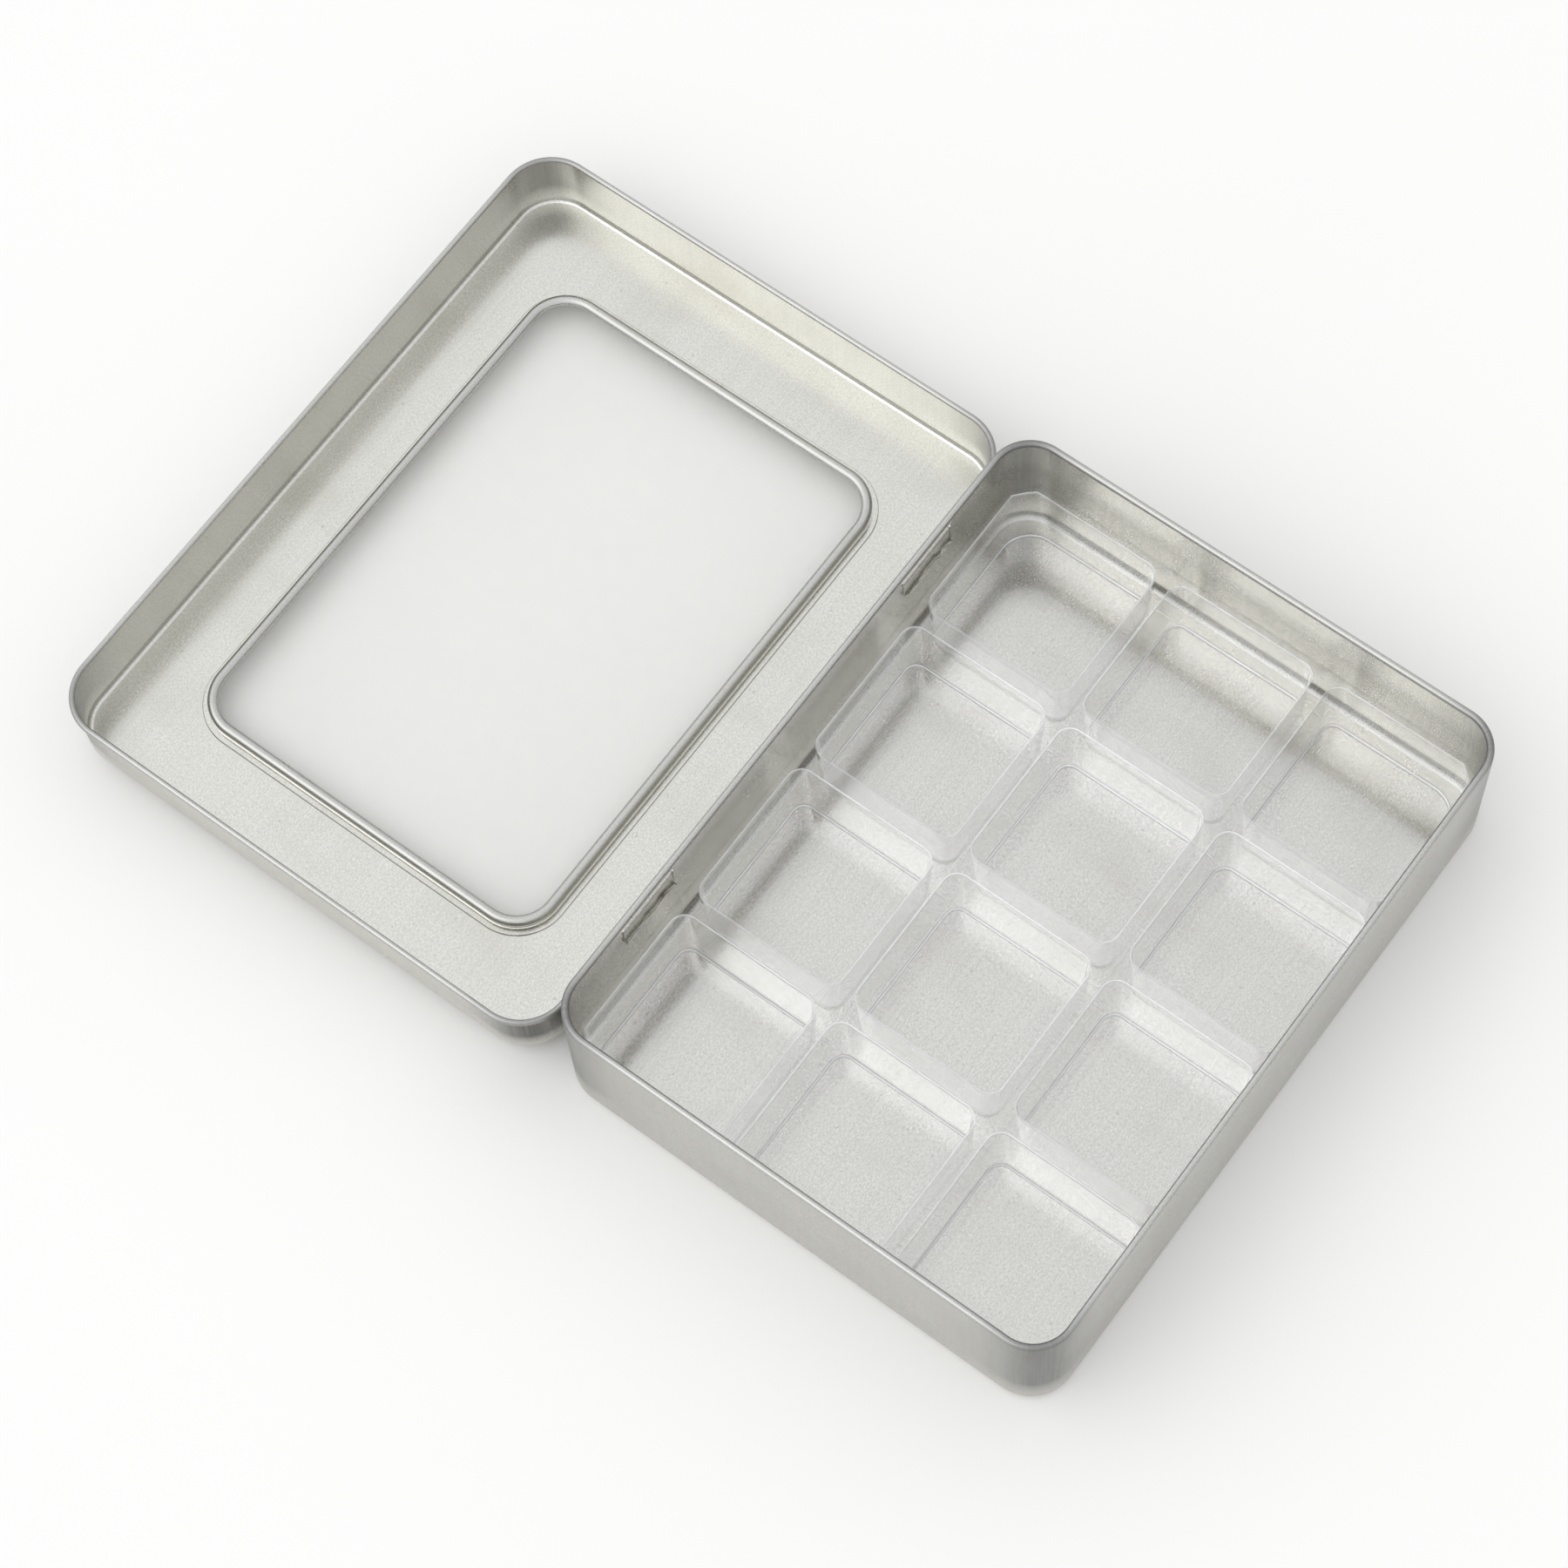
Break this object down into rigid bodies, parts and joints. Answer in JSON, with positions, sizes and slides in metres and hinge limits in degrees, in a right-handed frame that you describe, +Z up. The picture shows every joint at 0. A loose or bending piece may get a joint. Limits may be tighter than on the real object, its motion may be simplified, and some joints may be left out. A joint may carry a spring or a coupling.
{
  "type": "hinged window tin with divided insert",
  "caption": "Shallow rectangular tinplate box with a hinged lid, a clear framed window in the lid and a clear formed tray of square compartments.",
  "frame": {"origin": "centre of the base's flat underside, on the table", "axes": "+X runs along the hinge line, +Y from the base's front wall to the hinge and out over the open lid, +Z up"},
  "size_m": [0.1548, 0.2332, 0.0325],
  "materials": {
    "tinplate": "satin",
    "strap_steel": "satin",
    "clear_tray": "gloss",
    "clear_window": "gloss"
  },
  "bodies": {
    "base": {"base_tin": "tinplate", "hinge_strap_left": "strap_steel", "hinge_strap_right": "strap_steel"},
    "lid": {"lid_tin": "tinplate", "window_ring": "tinplate", "window_sheet": "clear_window"},
    "tray": {"insert_tray": "clear_tray"}
  },
  "joints": [
    {"name": "lid_hinge", "type": "hinge", "parent": "base", "child": "lid", "pos_m": [0, 0.05878, 0.01787], "axis": [1, 0, 0], "range_deg": [0, 180]},
    {"name": "tray_lift", "type": "slide", "parent": "base", "child": "tray", "axis": [0, 0, 1], "range_m": [0, 0.012]}
  ]
}
